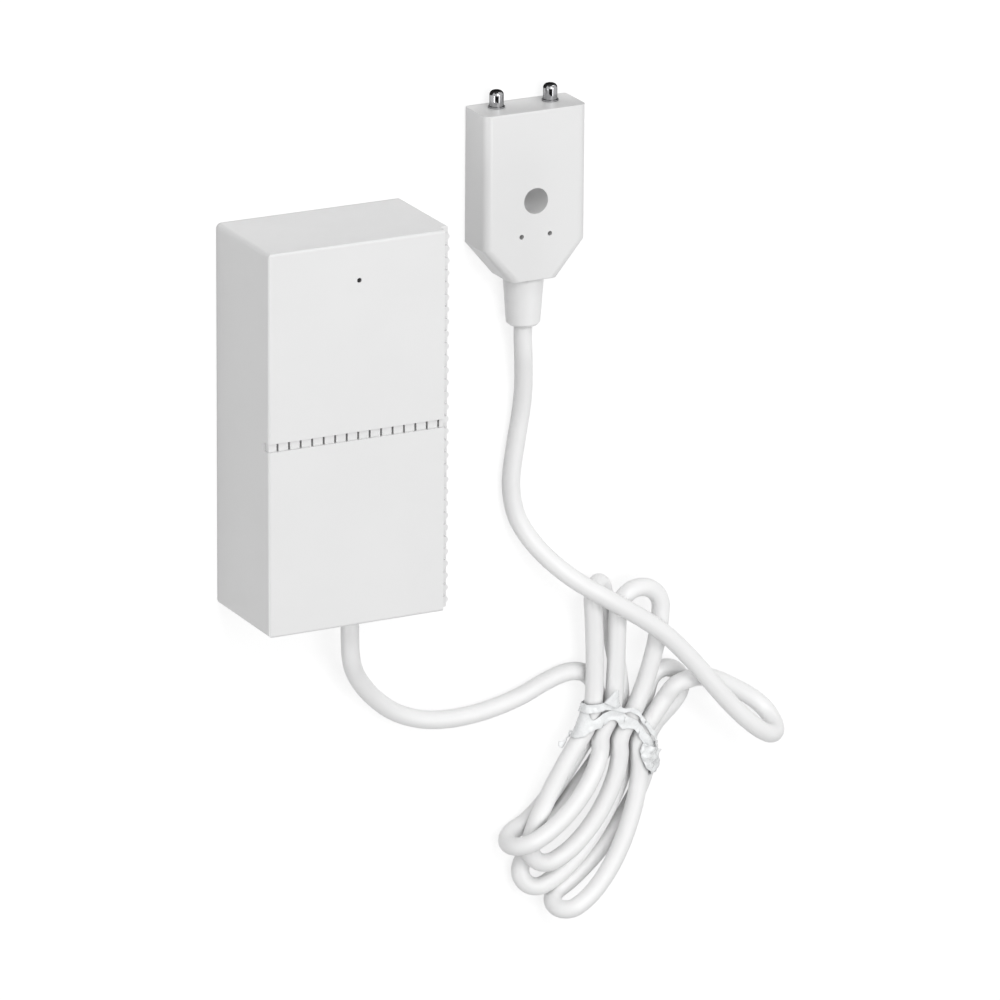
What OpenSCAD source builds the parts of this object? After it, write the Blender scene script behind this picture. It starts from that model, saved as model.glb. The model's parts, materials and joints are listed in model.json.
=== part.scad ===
// Water leak sensor: a white radio box that lies on its back, a cable tied into a hank,
// and a flat probe with two metal pins. Millimetres.
// X runs across the box, Y up along it, Z out of its front. The origin is the middle of the
// box's rear face, and everything lies on the plane Z = 0.

/* [Box] */
// Width of the box
box_w = 40.7; // [40:0.1:56]
// Height of the box, along Y
box_h = 80; // [79:1:110]
// Depth of the box, from the rear face to the front
box_d = 24; // [23:0.5:36]
// Side walls of the cover
wall = 2; // [1.6:0.1:2.4]
// Front wall of the cover
front_t = 2; // [1.4:0.1:2.6]
// Rounding of the two left-hand corner edges
corner_r = 1.1; // [0.6:0.1:1.8]
// Rounding of the two right-hand corner edges
right_r = 0.3; // [0.2:0.1:0.8]
// Rounding of the rim of the front face
rim_r = 0.6; // [0.3:0.1:1.2]

/* [Tooth rows] */
// Distance from one tooth to the next
tooth_pitch = 2.54; // [2.4:0.02:4]
// Gap between two teeth of the groove
groove_gap = 0.45; // [0.3:0.05:1.2]
// Distance from the left side to the first gap of the groove
groove_start = 2.2; // [1.6:0.1:2.6]
// Width of a rounded tooth of the rebate
tooth_w = 1.3; // [0.8:0.1:1.7]
// How far the teeth lie below the front face
tooth_drop = 0.45; // [0.2:0.05:0.9]
// Height of the groove across the front
groove_h = 1.75; // [1.4:0.05:4]
// Depth of the groove across the front
groove_d = 2; // [1:0.1:3]
// Middle of the groove, along Y
groove_y = -0.2; // [-6:0.1:6]
// Width of the rebate down the right front edge
rebate_w = 1.8; // [1:0.1:2.4]
// Depth of the rebate down the right front edge
rebate_d = 2.4; // [1:0.1:3.4]
// How far the teeth of the rebate stand back from the side
tooth_back = 0.55; // [0.1:0.05:0.8]
// Distance from the top to the middle of the first tooth of the rebate
tooth_start = 1.5; // [1:0.1:2]
// Material behind the groove and the rebate
backing = 1.2; // [0.8:0.1:1.4]

/* [Indicator] */
// Diameter of the pinhole
pinhole_d = 1; // [0.6:0.1:1.6]
// Distance of the pinhole from the top of the box
pinhole_drop = 7.9; // [6.5:0.1:8.5]
// Place of the pinhole across the box
pinhole_x = -0.4; // [-1:0.1:1]
// Diameter of the light guide behind the pinhole
guide_d = 2.5; // [2:0.1:3]
// Wall of the collar that holds the light guide
guide_wall = 1.1; // [0.8:0.1:1.4]
// Length of that collar
guide_hold = 4; // [3:0.5:6]
// How deep the end of the light guide lies in the pinhole
nose_depth = 0.2; // [0.1:0.05:0.5]

/* [Base] */
// Thickness of the base plate
base_t = 2; // [1.6:0.1:3]
// Height of the rims that guide the cover
base_rim_h = 3; // [2:0.5:5]
// Thickness of those rims
base_rim_t = 1.2; // [0.8:0.1:1.4]
// Diameter of the two wall screw holes
wall_hole_d = 4.2; // [3.2:0.1:5]
// Distance between the wall screw holes
wall_hole_pitch = 54; // [53:0.5:55]
// Place of the wall screw holes across the base
wall_hole_x = -9; // [-9.5:0.1:-8.5]
// Outside diameter of the ring round a wall screw hole
wall_ring_d = 8.4; // [7.4:0.1:8.8]
// Height of that ring above the plate
wall_ring_h = 1.2; // [0.6:0.1:2]

/* [Board] */
// Thickness of the circuit board
board_t = 1.6; // [1:0.1:2]
// Height of the posts under the board
post_h = 4; // [3.4:0.1:5]
// Diameter of the posts
post_d = 4.6; // [4:0.1:5]
// Distance of the board's lower edge from the bottom of the box
board_low = 15.4; // [15:0.1:17]
// Height of the board's wide upper part
board_wide_h = 21; // [20.5:0.1:21.5]
// Diameter of the opening in the board over the wall screw hole
board_access_d = 9.4; // [8.8:0.1:9.8]
// Shank diameter of the small screws
screw_d = 1.9; // [1.6:0.1:2.2]
// Head diameter of the small screws
screw_head_d = 3.8; // [3.2:0.1:4.2]
// Head height of the small screws
screw_head_h = 1.4; // [1:0.1:2]
// Side of the learn switch
switch_w = 6; // [5:0.1:6.4]
// Height of the learn switch
switch_h = 3.5; // [3:0.1:5]
// Diameter of the learn button
button_d = 3.4; // [2.4:0.1:3.8]
// How far the learn button stands out of its switch
button_out = 1.5; // [1:0.1:3]
// Travel of the learn button
button_travel = 0.3; // [0.2:0.05:0.5]
// Width of the radio module
radio_w = 10.5; // [9:0.1:11]
// Length of the radio module
radio_l = 14; // [10:0.5:15]
// Height of the radio module
radio_h = 2.6; // [1.8:0.1:4]
// Wire diameter of the antenna
antenna_d = 0.8; // [0.5:0.1:1]
// Height of the antenna over the board
antenna_h = 5.5; // [3:0.1:6]
// Side of the processor chip
chip_w = 7; // [5:0.1:7.4]
// Height of the processor chip
chip_h = 1; // [0.7:0.1:1.4]
// Diameter of the buffer capacitor
cap_d = 5; // [4:0.1:6]
// Height of the buffer capacitor
cap_h = 7; // [5:0.1:9]
// Height of the indicator lamp
lamp_h = 1.4; // [0.8:0.1:2]

/* [Battery] */
// Diameter of the battery cell
cell_d = 15.6; // [14:0.1:15.7]
// Length of the cell without its tip
cell_l = 25.6; // [22:0.1:26.6]
// Diameter of the cell's tip
cell_tip_d = 6.5; // [5:0.1:8]
// Length of the cell's tip
cell_tip_l = 1.4; // [1:0.1:1.6]
// Height of the cradle under the cell
cradle_h = 4; // [3:0.1:6]
// Height of the cradle's end walls
cradle_end_h = 14; // [10:0.5:15]
// Thickness of the cradle's end walls
cradle_end_t = 1.2; // [1:0.1:1.6]
// Width of the cradle's end walls
cradle_end_w = 12.6; // [10:0.1:13]
// Thickness of the contact metal
contact_t = 0.4; // [0.3:0.05:0.6]
// Room between a cell end and its contact plate
contact_room = 1.2; // [1:0.1:1.8]
// Side of a contact plate
contact_w = 9; // [7:0.1:11]
// Diameter of the raised point of the positive contact
contact_point_d = 3.6; // [2.4:0.1:5]
// Width of the bowed leaf of the negative contact
leaf_w = 4; // [3:0.1:6]
// Length of the bowed leaf
leaf_l = 6; // [5:0.1:8]
// Height of a contact's tab on the board
tab_h = 2; // [1.2:0.1:3]
// How far a contact's tab reaches onto the board
tab_reach = 2; // [1.2:0.1:2.4]

/* [Cable] */
// Diameter of the cable
cable_d = 3.8; // [3.4:0.1:4]
// Where the cable leaves the box, across it
cable_x = 5; // [4:0.5:6]
// Where the cable leaves the box, above the rear face
cable_z = 9; // [8:0.5:10]
// Diameter of the grommet's neck in the wall
neck_d = 6.6; // [6:0.1:7]
// Diameter of the grommet's flange inside the wall
flange_d = 9; // [8:0.1:10]
// Thickness of that flange
flange_t = 1.2; // [0.8:0.1:1.4]
// Diameter of the grommet's boot at the wall
boot_d = 8; // [7.4:0.1:9]
// Diameter of the boot's end
boot_end_d = 5.6; // [5:0.1:6.5]
// Length of the boot
boot_l = 4; // [3:0.5:8]
// Width of the cable clamp
clamp_w = 16.6; // [15.5:0.1:16.8]
// Length of the clamp along the cable
clamp_l = 4.4; // [4:0.1:4.8]
// Thickness of the clamp bar above the cable's middle
clamp_t = 3.6; // [3:0.1:5]
// Distance between the clamp screws
clamp_pitch = 11.6; // [10.4:0.1:12]
// Distance of the clamp from the bottom of the box
clamp_in = 3.6; // [3.6:0.1:4.2]
// Bare length of jacket behind the clamp
jacket_end = 0.6; // [0.4:0.1:1]
// Diameter of an insulated conductor
conductor_d = 1.4; // [1:0.1:1.6]
// Length of the terminal block
terminal_l = 7.6; // [6:0.1:8.4]
// Width of the terminal block
terminal_w = 10; // [9:0.1:11]
// Height of the terminal block
terminal_h = 8.4; // [7:0.1:10]
// Distance between the two terminals
terminal_pitch = 5; // [4.4:0.1:5.4]
// Diameter of a terminal screw
terminal_screw_d = 3; // [2.4:0.1:3.4]

/* [Hank] */
// Distance between strands in the tie, upper layer
pitch_top = 4.8; // [4.7:0.05:5]
// Distance between strands in the tie, lower layer
pitch_low = 4.9; // [4.8:0.05:5.1]
// How far the upper strands lie to the left, and the lower ones to the right
hank_lean = 2.1; // [2:0.05:2.2]
// Height of the upper strands in the tie
strand_top = 6.7; // [6.6:0.1:7]
// Height of the lower strands in the tie
strand_low = 2.5; // [2.4:0.1:2.6]
// Width of the tie along the strands
tie_w = 4.6; // [3:0.1:6]
// Thickness of the tie
tie_t = 0.4; // [0.3:0.05:0.5]

/* [Probe] */
// Width of the probe
probe_w = 22.9; // [21.5:0.1:30]
// Length of the probe's body
probe_h = 35.6; // [35:0.1:46]
// Thickness of the probe
probe_t = 9.6; // [9.2:0.1:12]
// Wall of the probe
probe_wall = 1.5; // [1.2:0.1:1.8]
// Rounding of the long edges of the probe's front
probe_r = 1.7; // [1:0.1:2.6]
// Rounding of the long edges of the probe's back
probe_rear_r = 0.8; // [0.3:0.1:1]
// Rounding of the front edges at the probe's two ends
probe_end_r = 0.4; // [0.2:0.1:0.8]
// Width of the narrow end
probe_tip_w = 10.6; // [9.6:0.1:14]
// Length of the tapered part
probe_taper = 7.3; // [6:0.1:9]
// Thickness of the back plate
plate_t = 1.2; // [1.2:0.1:1.6]
// Diameter of the screw hole through the probe
probe_hole_d = 5.4; // [4:0.1:6]
// Distance of the screw hole from the narrow end
probe_hole_y = 16.8; // [16:0.1:20]
// Wall of the tube round the screw hole
probe_tube_wall = 1.3; // [1:0.1:1.4]
// Diameter of the two small core holes
core_d = 1; // [0.6:0.1:1.4]
// Distance between the small core holes
core_pitch = 6.4; // [6:0.1:7]
// Distance of the small core holes from the narrow end
core_y = 9.6; // [9:0.1:10]
// Depth of the small core holes
core_depth = 3; // [1:0.1:4]
// Diameter of a metal pin
pin_d = 2.9; // [2:0.1:3.4]
// Distance between the pins
pin_pitch = 12.1; // [10:0.1:13]
// How far the pins stand out
pin_out = 3.6; // [2:0.1:8]
// How far the pins lie behind the middle of the cable
pin_drop = 0.6; // [0:0.1:0.8]
// Diameter of the collar on a pin
pin_collar_d = 3.4; // [3.2:0.1:4.6]
// Thickness of that collar
pin_collar_t = 0.3; // [0.2:0.05:0.6]
// Rounding of a pin's tip
pin_tip_r = 0.95; // [0.3:0.05:1]
// Length of the pin carrier
carrier_l = 5; // [4:0.1:7]
// Width of the pin carrier
carrier_w = 17; // [16.5:0.1:18]
// Diameter of the strain relief at the probe
relief_d = 8.4; // [7.6:0.1:8.6]
// Diameter of the strain relief at its end
relief_end_d = 7; // [5.6:0.1:7.4]
// Length of the strain relief
relief_l = 10.3; // [8:0.1:11]
// Chamfer at the end of the strain relief
relief_chamfer = 0.5; // [0.2:0.1:0.8]

/* [Clearances] */
// Gap between the cover and the base
cover_gap = 0.25; // [0.15:0.05:0.35]
// Gap between the grommet and the sliding cover wall
slide_gap = 0.2; // [0.15:0.05:0.3]
// Gap between pieces that sit in each other
seat_gap = 0.1; // [0.05:0.01:0.15]
// Gap round the screws, the cable and the pins
bore_gap = 0.05; // [0.03:0.01:0.08]
// Gap between the cell and the base's rim
cell_side_gap = 0.5; // [0.3:0.1:0.8]
// Gap between the cell and the board
cell_board_gap = 1.2; // [0.8:0.1:1.4]
// Gap between the cell and the base plate
cell_lift = 1; // [0.6:0.1:1.4]
// Gap between the cradle and the board's wide part
cradle_gap = 0.6; // [0.4:0.1:0.8]
// Room between neighbours on the board
part_gap = 0.8; // [0.5:0.1:1]
// Gap between the lamp and the light guide
lamp_gap = 0.3; // [0.2:0.1:0.5]

/* [Hidden] */
$fn = 64;
eps = 0.01;

// Inside of the cover and outline of the base
in_w = box_w - 2 * wall;
in_h = box_h - 2 * wall;
base_w = in_w - 2 * cover_gap;
base_h = in_h - 2 * cover_gap;
front_in = box_d - front_t;
pinhole_y = box_h / 2 - pinhole_drop;

// Slot in the bottom wall for the grommet
slot_d = neck_d + 2 * slide_gap;
bottom = -box_h / 2;

// Battery: it lies along the box on the left, on the base, below the board's wide part
board_z = base_t + post_h;
board_top = board_z + board_t;
board_edge = base_w / 2 - base_rim_t - seat_gap;
board_high = base_h / 2 - base_rim_t - seat_gap;
board_wide_y = board_high - board_wide_h;
cell_x = -base_w / 2 + base_rim_t + cell_side_gap + cell_d / 2;
cell_z = base_t + cell_lift + cell_d / 2;
end_high = board_wide_y - cradle_gap - cradle_end_t;
cell_y1 = end_high - contact_t - contact_room - cell_tip_l;
cell_y0 = cell_y1 - cell_l;
end_low = cell_y0 - contact_room - contact_t;

// Circuit board: a wide upper part and a strip down the right side, past the cell
board_y0 = bottom + board_low;
board_x0 = cell_x + cell_d / 2 + cell_board_gap;
board_mid = (board_edge + board_x0) / 2;
post_in = post_d / 2 + part_gap / 2;
terminal_y = board_y0 + part_gap / 2;
strip_y = terminal_y + terminal_l + part_gap;
post_spots = [
    [board_edge - post_in, strip_y + post_d / 2],
    [board_edge - post_in, board_high - post_in],
    [-board_edge + post_in, board_wide_y + post_in]
];
button_spot = [board_edge - post_in - post_d / 2 - part_gap, board_high - 2 * post_in - switch_w / 2 - part_gap / 2];
chip_spot = [wall_hole_x + board_access_d / 2 + part_gap + chip_w / 2, board_wide_y + chip_w / 2 + 4 * part_gap];
radio_spot = [board_edge - radio_w / 2 - part_gap, board_wide_y - radio_l / 2 - part_gap];
cap_spot = [board_x0 + tab_reach + part_gap / 2 + cap_d / 2, strip_y + cap_d / 2];

// Cable inside the box
clamp_y = bottom + clamp_in;
jacket_y = clamp_y + clamp_l + jacket_end;
terminal_z = board_top + 2.6;

// Free cable from the box: its route lies on the plane Z = 0
box_exit = [cable_x, bottom - slide_gap - boot_l, cable_z];
box_route = [
    [5, -48, 9], [5.5, -52.5, 8.4], [7, -56.5, 7], [10, -60.8, 5.2], [14, -65, 3.4],
    [19, -68.8, 2.3], [25, -71.2, 2.2], [31, -72, 2.2], [37, -71.8, 2.2], [43, -70.8, 2.2],
    [48, -69.4, 2.2], [52.4, -67.6, 2.2], [56, -66.4, 2.2], [59, -66, 2.2], [61.8, -66.6, 2.4]
];

// Free cable to the probe: a hairpin that stands up, a crossing over the hank, and the way back
probe_route = [
    [80.6, -70.8, 7.4], [84.4, -70, 6.9], [88.5, -70.9, 4.8], [92.5, -72.6, 2.9], [97.6, -75.6, 2.2],
    [102, -78.6, 2.2], [104.2, -80.8, 3.1], [104.9, -82.8, 5.3], [104.1, -84, 8.1],
    [101.9, -83.8, 10.3], [99, -82.2, 11.2], [95, -78.8, 11.6], [91, -74.6, 11.6],
    [87, -69.8, 11.6], [82, -63.8, 11.6], [76.5, -58, 11.6], [71, -53.6, 11.5], [66, -50.2, 11.4],
    [61.5, -47.2, 10.9], [57, -44.2, 9.6], [53.4, -41.2, 7.8], [50.4, -38, 5.8], [48, -34.6, 4],
    [46.2, -31, 2.8], [45.2, -27.2, 2.3], [44.8, -23, 2.2], [45.2, -18.6, 2.2], [46, -13.6, 2.2],
    [46.8, -8.6, 2.3], [47.1, -3.6, 2.8], [46.8, 1.2, 3.5], [46.4, 5, 4.1], [46.2, 8, 4.25]
];

// Hank: middle of the tie, and the turn of its axis from Y
hank_x = 69.2;
hank_y = -79.2;
hank_turn = 22;
tie_half = 3.5;
hank_in = 288;
hank_out = 52;
// One row per loop: strand it leaves by, strand it comes back by (layer, column), side of the
// tie, middle of its fold, heading of the fold, roll of the fold, radius, sweep,
// headings at the tie, and the pulls of its two runs
hank_loops = [
    [[0, 0], [1, 1], -1, [46.9, -98.4, 6.5], 203, 90, 4.3, 180, [227, 276], [14, 24, 28, 18]],
    [[1, 1], [1, 2], 1, [72.3, -53.2, 6.9], 88, 180, 5, 180, [80, 60], [16, 16, 22, 20]],
    [[1, 2], [1, 0], -1, [51.8, -101.2, 6.6], 230, 180, 4.2, 120, [278, 233], [18, 30, 16, 20]],
    [[1, 0], [0, 1], 1, [63.9, -50, 4.7], 96, 222, 3.2, 180, [82, 72], [14, 14, 14, 14]],
    [[0, 1], [0, 2], -1, [50.8, -107.9, 3.4], 222, 16, 3.5, 140, [246, 268], [24, 20, 28, 28]],
    [[0, 2], [0, 3], 1, [80.8, -72.4, 2.4], 76, 180, 3.9, 180, [64, 44], [6, 6, 8, 9]],
    [[0, 3], [1, 3], -1, [57.2, -114.2, 5.7], 206, 72, 3.4, 180, [282, 283], [26, 24, 32, 24]]
];
run_rings = 8;
fold_rings = 8;
pass_rings = 3;

// Probe: its middle across, and its narrow end along Y
probe_x = 46.2;
probe_y = 21.8;
probe_front_in = probe_t - probe_wall;
carrier_y1 = probe_h - probe_wall - seat_gap;
carrier_y0 = carrier_y1 - carrier_l;
pin_inner = carrier_y0 - 1.5;
relief_neck_d = cable_d + 2 * bore_gap + 1.2;
relief_flange_d = relief_neck_d + 0.8;
relief_flange_t = 1;
// Height of the cable in the probe: the strain relief's flange lies on the back plate
lead_z = plate_t + seat_gap + relief_flange_d / 2;
pin_z = lead_z - pin_drop;
probe_jacket_y = probe_wall + seat_gap + relief_flange_t + 1;

// Vectors, curves and swept tubes

function unit(v) = v / norm(v);
function along(angle) = [cos(angle), sin(angle), 0];
function hermite(p0, t0, p1, t1, u) =
    (2 * u * u * u - 3 * u * u + 1) * p0 + (u * u * u - 2 * u * u + u) * t0
    + (3 * u * u - 2 * u * u * u) * p1 + (u * u * u - u * u) * t1;

// Directions along a line of points, and side vectors that turn as little as they can
function headings(pts) = [
    for (i = [0 : len(pts) - 1])
        unit(pts[min(i + 1, len(pts) - 1)] - pts[max(i - 1, 0)])
];
function carried(side, heading) = unit(side - (side * heading) * heading);
function first_side(heading) = unit(cross(heading, [0, 0, 1]));
function sides_along(h) = [
    for (i = 0, s = first_side(h[0]); i < len(h); i = i + 1, s = i < len(h) ? carried(s, h[i]) : s) s
];
function tube_rings(pts, r, n) =
    let (h = headings(pts), s = sides_along(h))
    [
        for (i = [0 : len(pts) - 1], k = [0 : n - 1])
            pts[i] + r * (cos(360 * k / n) * s[i] + sin(360 * k / n) * cross(h[i], s[i]))
    ];
function tube_faces(rings, n) = concat(
    [for (k = [1 : n - 2]) [0, k, k + 1]],
    [
        for (i = [0 : rings - 2], k = [0 : n - 1], half = [0, 1])
            let (a = i * n + k, b = i * n + (k + 1) % n)
            half == 0 ? [a, b + n, b] : [a, a + n, b + n]
    ],
    [for (k = [1 : n - 2]) [(rings - 1) * n, (rings - 1) * n + k + 1, (rings - 1) * n + k]]
);
module tube(pts, d, n) {
    polyhedron(points = tube_rings(pts, d / 2, n), faces = tube_faces(len(pts), n), convexity = 12);
}

// Points of the hank: runs out of the tie, round a fold and back, with a pass through the tie between

hank_axis = along(90 - hank_turn);
hank_across = along(-hank_turn);
function strand_across(s) =
    (s[1] - 1.5) * (s[0] == 1 ? pitch_top : pitch_low) + (s[0] == 1 ? -hank_lean : hank_lean);
function strand(s, side) =
    [hank_x, hank_y, s[0] == 1 ? strand_top : strand_low]
    + strand_across(s) * hank_across + side * tie_half * hank_axis;
function fold_side(l) = cos(l[5]) * along(l[4] + 90) + sin(l[5]) * [0, 0, 1];
function fold_point(l, t) = l[3] + l[6] * (sin(t) * along(l[4]) - cos(t) * fold_side(l));
function fold_heading(l, t) = cos(t) * along(l[4]) + sin(t) * fold_side(l);
function loop_points(l, runs, folds) =
    let (t0 = 90 - l[7] / 2, t1 = 90 + l[7] / 2, pull = l[9])
    concat(
        [for (i = [0 : runs - 1]) hermite(strand(l[0], l[2]), pull[0] * along(l[8][0]),
            fold_point(l, t0), pull[1] * fold_heading(l, t0), i / runs)],
        [for (i = [0 : folds - 1]) fold_point(l, t0 + (t1 - t0) * i / folds)],
        [for (i = [0 : runs - 1]) hermite(fold_point(l, t1), pull[2] * fold_heading(l, t1),
            strand(l[1], l[2]), -pull[3] * along(l[8][1]), i / runs)]
    );
function pass_points(p0, h0, p1, h1, n) = [
    for (i = [0 : n - 1]) hermite(p0, 2 * tie_half * h0, p1, 2 * tie_half * h1, i / n)
];
hank_count = len(hank_loops);
hank_first = hank_loops[0];
hank_last = hank_loops[hank_count - 1];
hank_start = strand(hank_first[0], 1);
hank_finish = strand(hank_last[1], 1);
box_joint = hank_start - cable_d * along(hank_in);
probe_joint = hank_finish + cable_d * along(hank_out);
function hank_points(runs, folds, passes) = [
    box_joint,
    each [
        for (k = [0 : hank_count - 1])
            let (
                l = hank_loops[k],
                before = hank_loops[max(k - 1, 0)],
                p0 = k == 0 ? hank_start : strand(before[1], before[2]),
                h0 = k == 0 ? along(hank_in) : -along(before[8][1])
            )
            each concat(
                pass_points(p0, h0, strand(l[0], l[2]), along(l[8][0]), passes),
                loop_points(l, runs, folds)
            )
    ],
    each pass_points(strand(hank_last[1], -1), -along(hank_last[8][1]), hank_finish, along(hank_out), passes),
    hank_finish,
    probe_joint
];
box_cord = concat([box_exit], box_route, [box_joint - 2 * along(hank_in), box_joint]);
probe_cord = concat([probe_joint, probe_joint + 2 * along(hank_out)], probe_route,
    [[probe_x, probe_y - seat_gap - relief_l, lead_z]]);

// Least gap of the hank to itself, between points over three diameters apart along it
function lengths(pts) = [
    for (i = 0, s = 0; i < len(pts); s = s + (i + 1 < len(pts) ? norm(pts[i + 1] - pts[i]) : 0), i = i + 1) s
];
function least_gap(pts) =
    let (s = lengths(pts))
    min([
        for (i = [0 : len(pts) - 2], j = [i + 1 : len(pts) - 1])
            if (s[j] - s[i] > 3 * cable_d) norm(pts[i] - pts[j])
    ]) - cable_d;
function total(pts) = lengths(pts)[len(pts) - 1];

union() {  // cord_hank
    echo(hank_least_gap = least_gap(hank_points(3 * run_rings, 2 * fold_rings, 2 * pass_rings)));
    echo(cable_length = total(box_cord) + total(hank_points(24, 24, 6)) + total(probe_cord));
}

// Shared shapes

module round_rect(w, h, r) {
    square([w - 2 * r, h], center = true);
    square([w, h - 2 * r], center = true);
    for (sx = [-1, 1], sy = [-1, 1]) translate([sx * (w / 2 - r), sy * (h / 2 - r)]) circle(r);
}
// Outline with its two upper corners rounded, standing on the line Y = 0
module arch(w, h, r) {
    translate([-w / 2, 0]) square([w, h - r]);
    translate([-w / 2 + r, 0]) square([w - 2 * r, h]);
    for (sx = [-1, 1]) translate([sx * (w / 2 - r), h - r]) circle(r);
}
// The same outline with its two lower corners rounded as well
module band(w, h, r, low_r) {
    intersection() {
        arch(w, h, r);
        translate([0, h]) mirror([0, 1]) arch(w, h, low_r);
    }
}
module block(x0, x1, y0, y1, z0, z1) {
    translate([x0, y0, z0]) cube([x1 - x0, y1 - y0, z1 - z0]);
}
module rod_z(x, y, z0, z1, d) {
    translate([x, y, z0]) cylinder(d = d, h = z1 - z0);
}
module rod_y(x, y0, y1, z, d) {
    translate([x, y0, z]) rotate([-90, 0, 0]) cylinder(d = d, h = y1 - y0);
}
module cone_y(x, y0, y1, z, d0, d1) {
    translate([x, y0, z]) rotate([-90, 0, 0]) cylinder(d1 = d0, d2 = d1, h = y1 - y0);
}
module small_screw(x, y, seat, tip) {
    rod_z(x, y, seat, seat + screw_head_h, screw_head_d);
    rod_z(x, y, tip, seat + eps, screw_d);
}

// The box

// Outline of the box, rounded more on the left than on the right
module box_outline() {
    intersection() {
        translate([box_w / 2, 0]) round_rect(2 * box_w, box_h, corner_r);
        translate([-box_w / 2, 0]) round_rect(2 * box_w, box_h, right_r);
    }
}
module cover_outside() {
    intersection() {
        linear_extrude(box_d) box_outline();
        rotate([90, 0, 0]) linear_extrude(box_h + 2, center = true) arch(box_w, box_d, rim_r);
        rotate([90, 0, 90]) linear_extrude(box_w + 2, center = true) arch(box_h, box_d, rim_r);
    }
}
module groove_cut() {
    y0 = groove_y - groove_h / 2;
    y1 = groove_y + groove_h / 2;
    block(-box_w / 2 - 1, box_w / 2 + 1, y0, y1, box_d - tooth_drop, box_d + 1);
    // Half a gap at the left side, then the row
    block(-box_w / 2 - 1, -box_w / 2 + groove_gap / 2, y0, y1, box_d - groove_d, box_d + 1);
    for (x = [-box_w / 2 + groove_start : tooth_pitch : box_w / 2])
        block(x - groove_gap / 2, x + groove_gap / 2, y0, y1, box_d - groove_d, box_d + 1);
}
module rebate_cut() {
    block(box_w / 2 - rebate_w, box_w / 2 + 1, -box_h, box_h, box_d - rebate_d, box_d + 1);
}
// Round-nosed teeth down the rebate
module rebate_teeth() {
    x0 = box_w / 2 - rebate_w;
    nose = box_w / 2 - tooth_back - tooth_w / 2;
    for (y = [box_h / 2 - tooth_start : -tooth_pitch : -box_h / 2 + tooth_w / 2])
        translate([0, y, box_d - rebate_d - eps]) linear_extrude(rebate_d - tooth_drop + eps) {
            translate([x0 - 0.2, -tooth_w / 2]) square([max(nose - x0, 0) + 0.2, tooth_w]);
            translate([nose, 0]) circle(d = tooth_w);
        }
}
module front_cover() {
    color("whitesmoke") difference() {
        union() {
            difference() {
                union() {
                    difference() {
                        cover_outside();
                        block(-in_w / 2, in_w / 2, -in_h / 2, in_h / 2, -1, front_in);
                    }
                    // Backing of the groove and of the rebate
                    block(-in_w / 2 - eps, in_w / 2 + eps, groove_y - groove_h / 2 - backing,
                        groove_y + groove_h / 2 + backing, box_d - groove_d - backing, front_in + eps);
                    block(box_w / 2 - rebate_w - backing, in_w / 2 + eps, -in_h / 2 - eps, in_h / 2 + eps,
                        box_d - rebate_d - backing, front_in + eps);
                    // Collar of the light guide
                    rod_z(pinhole_x, pinhole_y, front_in - guide_hold, front_in + eps,
                        guide_d + 2 * seat_gap + 2 * guide_wall);
                }
                rebate_cut();
            }
            rebate_teeth();
        }
        groove_cut();
        rod_z(pinhole_x, pinhole_y, front_in - guide_hold - 1, front_in, guide_d + 2 * seat_gap);
        rod_z(pinhole_x, pinhole_y, front_in - 1, box_d + 1, pinhole_d);
        // Slot for the grommet, open to the rear
        block(cable_x - slot_d / 2, cable_x + slot_d / 2, bottom - 1, bottom + wall + 1, -1, cable_z);
        rod_y(cable_x, bottom - 1, bottom + wall + 1, cable_z, slot_d);
    }
}
module light_guide() {
    color("dimgray") {
        rod_z(pinhole_x, pinhole_y, board_top + lamp_h + lamp_gap, front_in, guide_d);
        rod_z(pinhole_x, pinhole_y, front_in - eps, box_d - nose_depth, pinhole_d - 2 * seat_gap);
    }
}
module rear_base() {
    color("gainsboro") difference() {
        union() {
            block(-base_w / 2, base_w / 2, -base_h / 2, base_h / 2, 0, base_t);
            for (s = [-1, 1]) {
                block(min(s * base_w / 2, s * (base_w / 2 - base_rim_t)), max(s * base_w / 2, s * (base_w / 2 - base_rim_t)),
                    -base_h / 2, base_h / 2, base_t - eps, base_t + base_rim_h);
                rod_z(wall_hole_x, s * wall_hole_pitch / 2, base_t - eps, base_t + wall_ring_h, wall_ring_d);
            }
            block(-base_w / 2, base_w / 2, base_h / 2 - base_rim_t, base_h / 2, base_t - eps, base_t + base_rim_h);
            for (p = post_spots) rod_z(p[0], p[1], base_t - eps, board_z, post_d);
            // Lower half of the cable clamp
            block(cable_x - clamp_w / 2, cable_x + clamp_w / 2, clamp_y, clamp_y + clamp_l, base_t - eps, cable_z);
            // Tongue that fills the cover's slot behind the grommet
            block(cable_x - neck_d / 2, cable_x + neck_d / 2, bottom, bottom + wall, 0, cable_z);
            block(cable_x - neck_d / 2, cable_x + neck_d / 2, bottom, -base_h / 2 + 1, 0, base_t);
        }
        for (s = [-1, 1]) {
            rod_z(wall_hole_x, s * wall_hole_pitch / 2, -1, base_t + wall_ring_h + 1, wall_hole_d);
            rod_z(cable_x + s * clamp_pitch / 2, clamp_y + clamp_l / 2, base_t + 0.6, cable_z + 1,
                screw_d + 2 * bore_gap);
        }
        for (p = post_spots) rod_z(p[0], p[1], base_t - 0.8, board_z + 1, screw_d + 2 * bore_gap);
        rod_y(cable_x, clamp_y - 1, clamp_y + clamp_l + 1, cable_z, cable_d + 2 * bore_gap);
        rod_y(cable_x, bottom - 1, bottom + wall + seat_gap, cable_z, neck_d + 2 * bore_gap);
    }
}
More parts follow.
